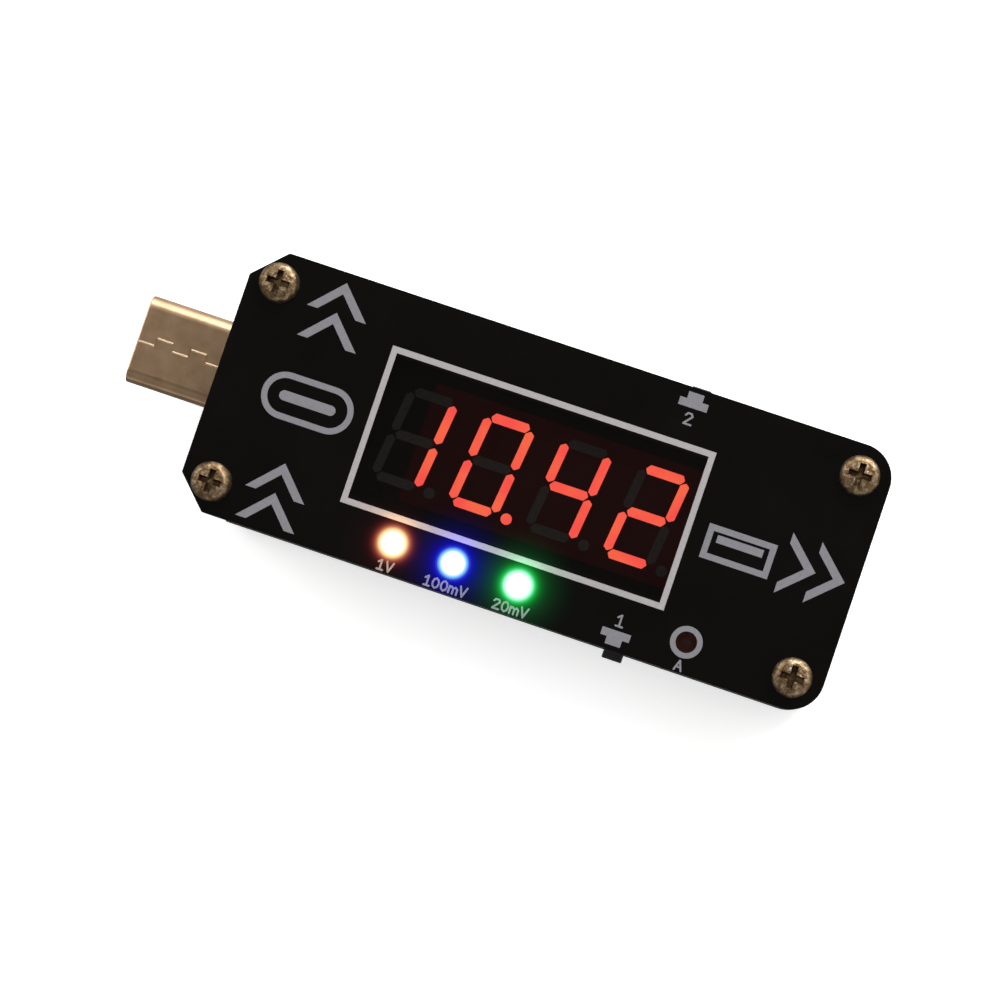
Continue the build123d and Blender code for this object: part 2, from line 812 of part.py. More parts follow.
controller_offsets = [(index - 3.5) * 0.5 for index in range(8)]
controller_leads = lead_rows(*controller_place, edge=controller_side / 2, reach=1.0, width=0.22,
                             mid_height=0.7, offsets=controller_offsets, turns=(0, 90, 180, 270))
controller_leads.part.label = "controller_leads"
export_step(controller_leads.part, "parts/controller_leads.step")

amplifier_place = (-20.2, 7.3)
amplifier_depth = 3.9
amplifier_chip = chip_body(*amplifier_place, 4.9, amplifier_depth, 1.45)
amplifier_chip.part.label = "amplifier_chip"
export_step(amplifier_chip.part, "parts/amplifier_chip.step")

amplifier_offsets = [(index - 1.5) * 1.27 for index in range(4)]
amplifier_leads = lead_rows(*amplifier_place, edge=amplifier_depth / 2, reach=1.05, width=0.4,
                            mid_height=0.85, offsets=amplifier_offsets, turns=(90, 270))
amplifier_leads.part.label = "amplifier_leads"
export_step(amplifier_leads.part, "parts/amplifier_leads.step")

regulator_place = (22.1, 8.8)
regulator_width = 2.5
regulator_chip = chip_body(*regulator_place, regulator_width, 4.5, 1.4)
regulator_chip.part.label = "regulator_chip"
export_step(regulator_chip.part, "parts/regulator_chip.step")

regulator_leads = lead_rows(*regulator_place, edge=regulator_width / 2, reach=0.95, width=0.45,
                            mid_height=0.8, offsets=(-1.5, 0, 1.5), turns=(0, 180))
regulator_leads.part.label = "regulator_leads"
export_step(regulator_leads.part, "parts/regulator_leads.step")

shunt_x = -20.2
shunt_y = 0.6
shunt_length = 6.3
shunt_width = 3.1
shunt_cap = 1.1
shunt_height = 0.65
with BuildPart() as shunt_resistor:
    with BuildSketch(level(board_top + chip_lift)):
        with Locations((shunt_x, shunt_y)):
            Rectangle(shunt_width, shunt_length - 2 * shunt_cap)
    extrude(amount=shunt_height)
shunt_resistor.part.label = "shunt_resistor"
export_step(shunt_resistor.part, "parts/shunt_resistor.step")

# small two-ended parts: capacitors left of the shunt, resistors right of it
small_length = 1.6
small_width = 0.8
small_cap = 0.35
cap_rise = 0.02
capacitor_height = 0.8
resistor_height = 0.45
capacitor_spots = [(-23.1, 3.1), (-23.1, 0.8), (-23.1, -1.5)]
resistor_spots = [(-17.1, 3.1), (-17.1, 0.8), (-17.1, -1.5)]


def small_bodies(spots, height):
    with BuildPart() as bodies:
        with BuildSketch(level(board_top)):
            with Locations(*spots):
                Rectangle(small_width, small_length - 2 * small_cap)
        extrude(amount=height)
    return bodies


chip_capacitors = small_bodies(capacitor_spots, capacitor_height)
chip_capacitors.part.label = "chip_capacitors"
export_step(chip_capacitors.part, "parts/chip_capacitors.step")

chip_resistors = small_bodies(resistor_spots, resistor_height)
chip_resistors.part.label = "chip_resistors"
export_step(chip_resistors.part, "parts/chip_resistors.step")

with BuildPart() as chip_terminals:
    with BuildSketch(level(board_top)):
        with Locations(*capacitor_spots):
            with GridLocations(1, small_length - small_cap, 1, 2):
                Rectangle(small_width, small_cap)
    extrude(amount=capacitor_height + cap_rise)
    with BuildSketch(level(board_top)):
        with Locations(*resistor_spots):
            with GridLocations(1, small_length - small_cap, 1, 2):
                Rectangle(small_width, small_cap)
    extrude(amount=resistor_height + cap_rise)
    with BuildSketch(level(board_top)):
        with Locations((shunt_x, shunt_y)):
            with GridLocations(1, shunt_length - shunt_cap, 1, 2):
                Rectangle(shunt_width, shunt_cap)
    extrude(amount=chip_lift + shunt_height + 2 * cap_rise)
chip_terminals.part.label = "chip_terminals"
export_step(chip_terminals.part, "parts/chip_terminals.step")

crystal_x = 21.9
crystal_y = -8.9
crystal_base_height = 0.35
with BuildPart() as crystal_base:
    with BuildSketch(level(board_top)):
        with Locations((crystal_x, crystal_y)):
            Rectangle(3.2, 2.5)
    extrude(amount=crystal_base_height)
crystal_base.part.label = "crystal_base"
export_step(crystal_base.part, "parts/crystal_base.step")

with BuildPart() as crystal_lid:
    with BuildSketch(level(board_top + crystal_base_height)):
        with Locations((crystal_x, crystal_y)):
            RectangleRounded(2.9, 2.2, 0.4)
    extrude(amount=0.45)
    fillet(crystal_lid.faces().sort_by(Axis.Z)[-1].edges(), 0.15)
crystal_lid.part.label = "crystal_lid"
export_step(crystal_lid.part, "parts/crystal_lid.step")

can_x = 17.5
can_y = 8.95
can_radius = 2.0
can_base_size = 4.2
can_base_height = 1.0
can_seat = 0.3
can_height = 4.7
with BuildPart() as capacitor_base:
    with BuildSketch(level(board_top)):
        with Locations((can_x, can_y)):
            Rectangle(can_base_size, can_base_size)
    extrude(amount=can_base_height)
    chamfer(capacitor_base.edges().filter_by(Axis.Z).group_by(Axis.X)[0], 0.8)
    with BuildSketch(level(board_top + can_base_height)):
        with Locations((can_x, can_y)):
            Circle(can_radius)
    extrude(amount=-can_seat, mode=Mode.SUBTRACT)
capacitor_base.part.label = "capacitor_base"
export_step(capacitor_base.part, "parts/capacitor_base.step")

with BuildPart() as capacitor_can:
    with BuildSketch(level(board_top + can_base_height - can_seat)):
        with Locations((can_x, can_y)):
            Circle(can_radius)
    extrude(amount=can_height)
    fillet(capacitor_can.faces().sort_by(Axis.Z)[-1].edges(), 0.3)
capacitor_can.part.label = "capacitor_can"
export_step(capacitor_can.part, "parts/capacitor_can.step")

# ---- the circuit board and the solder under it ----
board_half_length = 28.6
board_half_width = 11.2
board_corner_cut = corner_cut - 0.5
board_corner_radius = corner_radius - 0.8
notch_width = 8.9
pin_clearance = 0.1
lead_hole = led_lead_width / 2 + 0.2
leg_slot = (leg_width + 0.4, sheet + 0.3)
socket_pin_hole = 0.42
with BuildPart() as circuit_board:
    with BuildSketch(level(board_z)) as board_outline:
        Rectangle(2 * board_half_length, 2 * board_half_width)
        chamfer(board_outline.vertices().group_by(Axis.X)[0], board_corner_cut)
        fillet(board_outline.vertices().group_by(Axis.X)[-1], board_corner_radius)
        with GridLocations(screw_span_x, screw_span_y, 2, 2):
            Circle(bore_radius, mode=Mode.SUBTRACT)
        with Locations(((board_notch_edge - board_half_length) / 2, plug_y)):
            Rectangle(board_half_length + board_notch_edge, notch_width, mode=Mode.SUBTRACT)
        with Locations((display_x, 0)):
            with GridLocations(pin_pitch, 2 * pin_row_y, pins_in_row, 2):
                Circle(pin_radius + pin_clearance, mode=Mode.SUBTRACT)
        for place_x in led_x.values():
            with Locations((place_x, led_y)):
                with GridLocations(led_lead_gap, 1, 2, 1):
                    Circle(lead_hole, mode=Mode.SUBTRACT)
        for place_x in leg_x:
            with Locations((place_x, 0)):
                with GridLocations(1, 2 * leg_y, 1, 2):
                    SlotOverall(*leg_slot, mode=Mode.SUBTRACT)
        for pin_y in socket_pin_y:
            with Locations((pin_column, pin_y)):
                Circle(socket_pin_hole, mode=Mode.SUBTRACT)
    extrude(amount=board_thickness)
circuit_board.part.label = "circuit_board"
export_step(circuit_board.part, "parts/circuit_board.step")

solder_height = 0.8
solder_foot = 0.7
solder_tip = 0.42
leg_solder = (leg_width + 1.0, sheet + 0.9)
leg_solder_height = 0.5
with BuildPart() as solder_joints:
    joint_spots = []
    for index in range(pins_in_row):
        for row in (-pin_row_y, pin_row_y):
            joint_spots.append((display_x + (index - (pins_in_row - 1) / 2) * pin_pitch, row))
    for place_x in led_x.values():
        for side in (-1, 1):
            joint_spots.append((place_x + side * led_lead_gap / 2, led_y))
    for pin_y in socket_pin_y:
        joint_spots.append((pin_column, pin_y))
    with Locations(*[Location((case.origin.X + x, y, board_z)) for x, y in joint_spots]):
        Cone(solder_tip, solder_foot, solder_height, align=(Align.CENTER, Align.CENTER, Align.MAX))
    with BuildSketch(level(board_z)):
        for place_x in leg_x:
            with Locations((place_x, 0)):
                with GridLocations(1, 2 * leg_y, 1, 2):
                    SlotOverall(*leg_solder)
    extrude(amount=-leg_solder_height)
    for through in (display_pins, led_leads, socket_contacts, socket_shell):
        add(through.part, mode=Mode.SUBTRACT)
solder_joints.part.label = "solder_joints"
export_step(solder_joints.part, "parts/solder_joints.step")
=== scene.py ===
import bpy
import bmesh
import math
from mathutils import Matrix, Vector


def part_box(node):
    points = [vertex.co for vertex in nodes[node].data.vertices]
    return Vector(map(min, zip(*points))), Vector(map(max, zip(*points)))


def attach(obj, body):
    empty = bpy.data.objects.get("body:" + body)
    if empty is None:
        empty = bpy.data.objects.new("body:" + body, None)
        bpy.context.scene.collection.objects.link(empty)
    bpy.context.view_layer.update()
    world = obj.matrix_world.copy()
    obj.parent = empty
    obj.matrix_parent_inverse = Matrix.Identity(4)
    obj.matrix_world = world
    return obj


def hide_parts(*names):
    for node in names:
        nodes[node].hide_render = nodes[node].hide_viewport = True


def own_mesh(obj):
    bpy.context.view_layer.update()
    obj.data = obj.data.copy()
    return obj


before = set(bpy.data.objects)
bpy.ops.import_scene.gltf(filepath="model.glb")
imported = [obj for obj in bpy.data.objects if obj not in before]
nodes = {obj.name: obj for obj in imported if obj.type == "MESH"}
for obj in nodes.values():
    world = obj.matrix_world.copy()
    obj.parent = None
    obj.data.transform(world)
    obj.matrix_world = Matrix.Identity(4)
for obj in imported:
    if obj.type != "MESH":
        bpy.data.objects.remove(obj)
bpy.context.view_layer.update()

MM = 0.001

# ---- places read from the frame ----
panel_low, panel_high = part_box("top_panel")
panel_middle = (panel_low + panel_high) / 2
panel_face = panel_high.z


def middle(node):
    low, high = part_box(node)
    return (low + high) / 2


# ---- camera: above the right part of the panel, looking back and down ----
camera_foot = Vector((23.5, -14.0)) * MM
camera_height = 300 * MM
camera_aim = Vector((-2.19, -2.68)) * MM
camera_turn = math.radians(18.53)
camera_lens = 124.6
camera_sensor = 36
camera_clip = (0.01, 20)

eye = Vector((panel_middle.x + camera_foot.x, panel_middle.y + camera_foot.y,
              panel_face + camera_height))
target = Vector((panel_middle.x + camera_aim.x, panel_middle.y + camera_aim.y, panel_face))
camera_data = bpy.data.cameras.new("camera")
camera_data.lens = camera_lens
camera_data.sensor_width = camera_sensor
camera_data.clip_start, camera_data.clip_end = camera_clip
camera = bpy.data.objects.new("camera", camera_data)
back = (eye - target).normalized()
side_hint = Vector((math.cos(camera_turn), math.sin(camera_turn), 0))
up = back.cross(side_hint).normalized()
side = up.cross(back)
camera.matrix_world = Matrix.Translation(eye) @ Matrix((side, up, back)).transposed().to_4x4()
bpy.context.scene.collection.objects.link(camera)
bpy.context.scene.camera = camera
bpy.context.scene.view_settings.view_transform = "Standard"

# ---- studio: a pale floor, a soft sky that is dark overhead, and soft lights ----
floor_size = 6.0
floor_glow = 0.45
floor_grain = 0.4 * MM
# Brightness at heights from straight down (0) to straight up (1).
sky_levels = ((0.0, 0.3), (0.46, 0.3), (0.5, 0.85), (0.6, 0.8), (0.7, 0.45), (0.92, 0.36), (0.965, 0.08))
bright_side = (0.3, 0.95, 0)
far_side_level, bright_side_level = 0.3, 1.9
horizon_height, horizon_reach, horizon_level = 0.03, 0.06, 0.85

# A wave texture of scale 1 repeats at this distance.
wave_period = 0.314
# The sockets for colours on a mix node.
mix_first, mix_second, mix_result = 6, 7, 2


class Shader:
    """Builds one node material. Textures use object coordinates, which are metres on the object."""

    def __init__(self, name):
        self.material = bpy.data.materials.new(name)
        self.material.use_nodes = True
        self.tree = self.material.node_tree
        self.surface = self.tree.nodes["Principled BSDF"]
        self.place = self.add("ShaderNodeTexCoord").outputs["Object"]

    def add(self, kind):
        return self.tree.nodes.new(kind)

    def put(self, value, socket):
        """A number or colour goes on the socket itself, and another node's output is linked."""
        if isinstance(value, bpy.types.NodeSocket):
            self.tree.links.new(value, socket)
        elif isinstance(value, (tuple, list)) and len(value) == 3 and socket.type == "RGBA":
            socket.default_value = (*value, 1)
        else:
            socket.default_value = value

    def set(self, **values):
        for name, value in values.items():
            self.put(value, self.surface.inputs[name.replace("_", " ")])
        return self

    def math(self, operation, a, b=0.0, c=0.0):
        node = self.add("ShaderNodeMath")
        node.operation = operation
        for value, socket in zip((a, b, c), node.inputs):
            self.put(value, socket)
        return node.outputs[0]

    def stretch(self, x=1.0, y=1.0, z=1.0):
        """The object coordinates, each axis multiplied."""
        node = self.add("ShaderNodeVectorMath")
        node.operation = "MULTIPLY"
        self.put(self.place, node.inputs[0])
        node.inputs[1].default_value = (x, y, z)
        return node.outputs[0]

    def distance(self, point, flat=True):
        """Distance in metres from a point, measured in plan when flat."""
        node = self.add("ShaderNodeVectorMath")
        node.operation = "DISTANCE"
        self.put(self.stretch(1, 1, 0) if flat else self.place, node.inputs[0])
        node.inputs[1].default_value = (point[0], point[1], 0 if flat else point[2])
        return node.outputs["Value"]

    def noise(self, size, detail=3.0, rough=0.55, place=None):
        """Noise from 0 to 1 whose grain is about size metres."""
        node = self.add("ShaderNodeTexNoise")
        self.put(self.place if place is None else place, node.inputs["Vector"])
        node.inputs["Scale"].default_value = 1 / size
        node.inputs["Detail"].default_value = detail
        node.inputs["Roughness"].default_value = rough
        return node.outputs[0]

    def cells(self, size):
        """Distance to the nearest of scattered points that lie about size metres apart."""
        node = self.add("ShaderNodeTexVoronoi")
        self.put(self.place, node.inputs["Vector"])
        node.inputs["Scale"].default_value = 1 / size
        return node.outputs["Distance"]

    def bands(self, size, axis, distortion):
        """Parallel soft lines from 0 to 1, one every size metres along an axis."""
        node = self.add("ShaderNodeTexWave")
        node.bands_direction = axis
        self.put(self.place, node.inputs["Vector"])
        node.inputs["Scale"].default_value = wave_period / size
        node.inputs["Distortion"].default_value = distortion
        return node.outputs["Fac"]

    def ramp(self, factor, *stops):
        """Colours or grey levels at positions from 0 to 1."""
        node = self.add("ShaderNodeValToRGB")
        self.put(factor, node.inputs[0])
        band = node.color_ramp.elements
        while len(band) < len(stops):
            band.new(0.5)
        for element, (position, value) in zip(band, stops):
            element.position = position
            element.color = (*value, 1) if isinstance(value, tuple) else (value, value, value, 1)
        return node.outputs["Color"]

    def mix(self, factor, a, b, blend="MIX"):
        """A colour between a and b."""
        node = self.add("ShaderNodeMix")
        node.data_type = "RGBA"
        node.blend_type = blend
        self.put(factor, node.inputs[0])
        self.put(a, node.inputs[mix_first])
        self.put(b, node.inputs[mix_second])
        return node.outputs[mix_result]

    def blend(self, factor, a, b):
        """A number between a and b."""
        node = self.add("ShaderNodeMapRange")
        self.put(factor, node.inputs["Value"])
        self.put(a, node.inputs["To Min"])
        self.put(b, node.inputs["To Max"])
        return node.outputs[0]

    def rise(self, name, start, end):
        """0 below the start and 1 above the end, along one axis of the object."""
        node = self.add("ShaderNodeMapRange")
        self.put(self.axis(name), node.inputs["Value"])
        node.inputs["From Min"].default_value = start
        node.inputs["From Max"].default_value = end
        return node.outputs[0]

    def inside(self, low, high):
        """1 inside a rectangle in plan, 0 outside it."""
        total = None
        for name, start, end in (("X", low.x, high.x), ("Y", low.y, high.y)):
            from_middle = self.math("SUBTRACT", self.axis(name), (start + end) / 2)
            off_centre = self.math("ABSOLUTE", from_middle)
            within = self.math("LESS_THAN", off_centre, (end - start) / 2)
            total = within if total is None else self.math("MULTIPLY", total, within)
        return total

    def axis(self, name, normal=False):
        """One coordinate of the place on the object, or of its surface direction."""
        node = self.add("ShaderNodeSeparateXYZ")
        source = self.add("ShaderNodeTexCoord").outputs["Normal"] if normal else self.place
        self.put(source, node.inputs[0])
        return node.outputs[name]

    def bump(self, height, depth, strength=1.0):
        """Bump of the given depth in metres, added to any bump before it."""
        node = self.add("ShaderNodeBump")
        self.put(height, node.inputs["Height"])
        node.inputs["Distance"].default_value = depth
        node.inputs["Strength"].default_value = strength
        before = self.surface.inputs["Normal"].links
        if before:
            self.tree.links.new(before[0].from_socket, node.inputs["Normal"])
        self.tree.links.new(node.outputs[0], self.surface.inputs["Normal"])
        return self


def build_floor():
    mesh = bpy.data.meshes.new("floor")
    form = bmesh.new()
    bmesh.ops.create_grid(form, x_segments=1, y_segments=1, size=floor_size / 2)
    form.to_mesh(mesh)
    form.free()
    floor = bpy.data.objects.new("floor", mesh)
    bpy.context.scene.collection.objects.link(floor)
    shader = Shader("floor_paper")
    grain = shader.noise(floor_grain)
    shader.set(Base_Color=shader.ramp(grain, (0.3, 0.92), (0.7, 0.95)), Roughness=0.95,
               Emission_Color=(1, 1, 1), Emission_Strength=floor_glow)
    mesh.materials.append(shader.material)
    floor.visible_glossy = False


def build_sky():
    """A soft sky: dark overhead and below, bright on one side, with a pale band round the horizon."""
    world = bpy.data.worlds.new("studio")
    bpy.context.scene.world = world
    world.use_nodes = True
    tree = world.node_tree
    direction = tree.nodes.new("ShaderNodeTexCoord").outputs["Generated"]

    def put(kind, value, **settings):
        node = tree.nodes.new(kind)
        for name, setting in settings.items():
            setattr(node, name, setting)
        tree.links.new(value, node.inputs[0])
        return node

    split = put("ShaderNodeSeparateXYZ", direction)
    height = put("ShaderNodeMapRange", split.outputs["Z"])
    height.inputs["From Min"].default_value = -1
    zone = put("ShaderNodeValToRGB", height.outputs[0])
    band = zone.color_ramp.elements
    while len(band) < len(sky_levels):
        band.new(0.5)
    for element, (position, level) in zip(band, sky_levels):
        element.position = position
        element.color = (level, level, level, 1)
    towards = put("ShaderNodeVectorMath", direction, operation="DOT_PRODUCT")
    towards.inputs[1].default_value = bright_side
    side = put("ShaderNodeMapRange", towards.outputs["Value"])
    side.inputs["From Min"].default_value = -1
    side.inputs["To Min"].default_value = far_side_level
    side.inputs["To Max"].default_value = bright_side_level
    level = put("ShaderNodeMath", zone.outputs["Color"], operation="MULTIPLY")
    tree.links.new(side.outputs[0], level.inputs[1])
    horizon = put("ShaderNodeMath", split.outputs["Z"], operation="COMPARE")
    horizon.inputs[1].default_value = horizon_height
    horizon.inputs[2].default_value = horizon_reach
    pale = put("ShaderNodeMath", horizon.outputs[0], operation="MULTIPLY")
    pale.inputs[1].default_value = horizon_level
    brighter = put("ShaderNodeMath", level.outputs[0], operation="MAXIMUM")
    tree.links.new(pale.outputs[0], brighter.inputs[1])
    tree.links.new(brighter.outputs[0], tree.nodes["Background"].inputs["Color"])


def soft_light(name, place, size, power, seen=True):
    """A rectangular light aimed at the origin; one that isn't seen makes no reflections."""
    data = bpy.data.lights.new(name, "AREA")
    data.shape = "RECTANGLE"
    data.size, data.size_y = size
    data.energy = power
    light = bpy.data.objects.new(name, data)
    light.visible_glossy = seen
    light.location = place
    light.rotation_mode = "QUATERNION"
    light.rotation_quaternion = (-Vector(place)).to_track_quat("-Z", "Y")
    bpy.context.scene.collection.objects.link(light)


build_floor()
build_sky()
soft_light("key_light", (0.12, 0.46, 0.32), (0.42, 0.34), 4.0)
soft_light("side_light", (-0.42, 0.10, 0.40), (0.2, 0.3), 0.7)
soft_light("fill_light", (0.30, -0.45, 0.30), (0.3, 0.2), 0.3)
soft_light("ceiling_light", (0.05, 0.0, 1.3), (1.4, 1.4), 7, seen=False)

# ---- light that the round LEDs spread into the panel above them, painted on its top face as glow ----
# Close to an LED its light is saturated, then it fades fast, and a weak halo reaches further out.
glow_reach = 6.0
glow_steps = 30
halo_power = 3
# Each LED in red, green and blue: saturated radius in mm, fading distance in mm, halo strength.
glows = {
    "led_amber": ((1.31, 1.16, 0.96), (0.22, 0.155, 0.19), (0.03, 0.003, 0.004)),
    "led_blue": ((0.99, 1.15, 1.20), (0.11, 0.09, 0.35), (0.0, 0.0, 0.36)),
    "led_green": ((1.13, 1.31, 1.17), (0.10, 0.27, 0.14), (0.0, 0.18, 0.04)),
}
# The colour of each LED's light, painted as glow on the frosted marks round it.
painted_led_tints = {"led_amber": (0.60, 0.27, 0.03), "led_blue": (0.03, 0.035, 0.62), "led_green": (0.04, 0.52, 0.17)}
# Across an LED, the painted glow grows to its full strength between these distances from the axis.
painted_tint_below, painted_tint_above = 0.6 * MM, 0.9 * MM
# Within this radius a lit LED's light is painted on the frosted marks as glow.
flood_radius = 1.46 * MM


def glow_colour(glow, share):
    """The colour of one LED's glow at a share of its reach."""
    return tuple(min(1.0, math.exp((edge - share * glow_reach) / fade) + halo * (1 - share) ** halo_power)
                 for edge, fade, halo in zip(*glow))


def glow_light(shader):
    """The painted colour of all the LEDs' glows at a point of the panel, seen from above."""
    total = None
    for node, glow in glows.items():
        near = shader.math("DIVIDE", shader.distance(middle(node)), glow_reach * MM)
        shares = [step / glow_steps for step in range(glow_steps + 1)]
        stops = [(share, glow_colour(glow, share)) for share in shares]
        light = shader.ramp(near, *stops)
        total = light if total is None else shader.mix(1.0, total, light, "ADD")
    return total


def painted_tint_light(shader):
    """The LEDs' light painted on the frosted marks as glow: strongest on the display's side of each LED.
    """
    total = None
    for node, colour in painted_led_tints.items():
        centre = middle(node)
        near = shader.math("DIVIDE", shader.distance(centre), glow_reach * MM)
        fade = shader.ramp(near, (0.36, 1.0), (0.46, 0.42), (0.62, 0.12), (1.0, 0.0))
        across = shader.rise("Y", centre.y - painted_tint_below, centre.y + painted_tint_above)
        above = shader.ramp(across, (0.0, 0.42), (1.0, 1.0))
        light = shader.mix(shader.math("MULTIPLY", fade, above), (0, 0, 0), colour)
        total = light if total is None else shader.mix(1.0, total, light, "ADD")
    return total


def flooded(shader):
    """1 where a lit LED's light is painted on the frosted marks as glow, 0 elsewhere."""
    total = 0.0
    for node in glows:
        over_led = shader.math("LESS_THAN", shader.distance(middle(node)), flood_radius)
        total = shader.math("ADD", total, over_led)
    return shader.math("MINIMUM", total, 1.0)


# ---- materials ----
window_inset = Vector((0.6, 0.6, 0)) * MM
window_density = 0.68
port_radius = 1.40 * MM
port_density = 0.2
smudge_size = 7 * MM
dust_spacing = 1.1 * MM
cut_pitch = 0.09 * MM
cut_depth = 0.03 * MM
dust_height = 0.004 * MM


def acrylic_density(shader):
    """Opaque black, with a smoked window over the display and clearer ports over the LEDs."""
    low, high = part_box("display_housing")
    window = shader.inside(low + window_inset, high - window_inset)
    density = shader.blend(window, 1.0, window_density)
    for node in ("led_amber", "led_blue", "led_green", "led_red"):
        port = shader.math("LESS_THAN", shader.distance(middle(node)), port_radius)
        density = shader.blend(port, density, port_density)
    return density


def acrylic(name, lit):
    """Glossy black sheet, polished on its faces and finely striped where the laser cut it."""
    shader = Shader(name)
    smudge = shader.noise(smudge_size, 4, 0.6)
    dust = shader.cells(dust_spacing)
    black = shader.ramp(smudge, (0.3, (0.0009, 0.0007, 0.0005)), (0.75, (0.0022, 0.0017, 0.0012)))
    shader.set(Base_Color=black, Roughness=shader.blend(smudge, 0.05, 0.13), IOR=1.49)
    up_face = shader.math("ABSOLUTE", shader.axis("Z", normal=True))
    cut = shader.noise(cut_pitch, 2, 0.5, shader.stretch(1, 1, 0.03))
    edge = shader.math("MULTIPLY", cut, shader.math("SUBTRACT", 1.0, up_face))
    shader.bump(edge, cut_depth, 0.6)
    shader.bump(shader.ramp(dust, (0.02, 1.0), (0.05, 0.0)), dust_height, 0.15)
    if lit:
        # The lit sheet's top face carries the LEDs' glow as painted light, an emission colour.
        shader.set(Alpha=acrylic_density(shader), Emission_Strength=1.0,
                   Emission_Color=shader.mix(up_face, (0, 0, 0), glow_light(shader)))
    return shader.material


# Half the size of the rectangle in which the engraving is the window's frame.
frame_reach = Vector((16.0, 8.2, 0)) * MM
raster_pitch = 0.11 * MM
raster_depth = 0.02 * MM
frost_size = 0.35 * MM
frost_depth = 0.03 * MM


def engraving():
    """Laser frosting in fine pale lines, brighter in the window's frame, with the LEDs' light painted on
    as a coloured glow.
    """
    shader = Shader("engraving")
    raster = shader.bands(raster_pitch, "Y", 0.6)
    mottle = shader.noise(frost_size, 4, 0.7)
    centre = middle("display_housing")
    frame_line = shader.inside(centre - frame_reach, centre + frame_reach)
    grey = shader.mix(mottle, (0.118, 0.116, 0.126), (0.205, 0.201, 0.218))
    white = shader.mix(mottle, (0.255, 0.238, 0.242), (0.385, 0.355, 0.36))
    base = shader.mix(frame_line, grey, white)
    base = shader.mix(shader.math("MULTIPLY", raster, 0.35), base, (0.10, 0.095, 0.10))
    # Over each lit LED the frosting is painted near black and given the LED's painted glow.
    shine = flooded(shader)
    base = shader.mix(shine, base, (0.004, 0.004, 0.004))
    shader.set(Base_Color=base, Roughness=0.7, Emission_Strength=1.0,
               Emission_Color=shader.mix(shine, painted_tint_light(shader), glow_light(shader)))
    shader.bump(raster, raster_depth, 0.5)
    shader.bump(mottle, frost_depth, 0.5)
    return shader.material


def metal(name, dark, light, rough, grain=0.25 * MM, brush=None, bump=0.006):
    """Plain metal: mottled colour, uneven polish, and brushing along one axis if given."""
    shader = Shader(name)
    mottle = shader.noise(grain * 3, 4, 0.6)
    if brush:
        fine = shader.noise(grain * 0.25, 3, 0.6, shader.stretch(*brush))
    else:
        fine = shader.noise(grain * 0.3, 3, 0.6)
    wear = shader.mix(0.5, mottle, fine)
    shader.set(Base_Color=shader.ramp(wear, (0.3, dark), (0.7, light)), Metallic=1.0,
               Roughness=shader.blend(fine, rough * 0.75, rough * 1.35))
    shader.bump(fine, bump * MM, 0.6)
    return shader.material


screw_radius = 1.75 * MM
crown_rise = 0.17 * MM


def crown_height(shader):
    """1 over the middle of each screw, falling to 0 at its head's rim."""
    low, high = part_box("top_screws")
    centre, reach = (low + high) / 2, (high - low) / 2
    square = 0.0
    for name, start, half in (("X", centre.x, reach.x), ("Y", centre.y, reach.y)):
        from_middle = shader.math("ABSOLUTE", shader.math("SUBTRACT", shader.axis(name), start))
        from_screw = shader.math("SUBTRACT", from_middle, half - screw_radius)
        share = shader.math("DIVIDE", from_screw, screw_radius)
        square = shader.math("ADD", square, shader.math("POWER", share, 2.0))
    return shader.math("SUBTRACT", 1.0, square)


def screw_brass():
    """Plated screws, mottled and unevenly dull, each crown slightly domed towards its rim."""
    shader = Shader("antique_brass")
    cloud = shader.noise(0.55 * MM, 4, 0.65)
    grain = shader.noise(0.12 * MM, 3, 0.6)
    tarnish = shader.mix(0.35, cloud, grain)
    colour = shader.ramp(tarnish, (0.36, (0.10, 0.056, 0.024)), (0.5, (0.235, 0.152, 0.078)),
                         (0.63, (0.56, 0.44, 0.30)))
    shader.set(Base_Color=colour, Metallic=1.0, Roughness=shader.blend(cloud, 0.30, 0.52))
    shader.bump(crown_height(shader), crown_rise, 1.0)
    shader.bump(cloud, 0.12 * MM, 1.0)
    shader.bump(grain, 0.015 * MM, 0.8)
    return shader.material


def plastic(name, dark, light, rough, grain=0.12 * MM, bump=0.006, **extra):
    """Moulded plastic or epoxy: a fine spark-eroded texture and slight shade changes."""
    shader = Shader(name)
    broad = shader.noise(grain * 14, 3, 0.5)
    fine = shader.noise(grain, 3, 0.6)
    shader.set(Base_Color=shader.ramp(broad, (0.3, dark), (0.7, light)),
               Roughness=shader.blend(fine, rough * 0.85, rough * 1.15), **extra)
    shader.bump(fine, bump * MM, 0.5)
    return shader.material


# The board's traces are the joints of a brick texture.
trace_scale = 420
trace_width = 0.045
trace_softness = 0.2
trace_height = 0.03 * MM


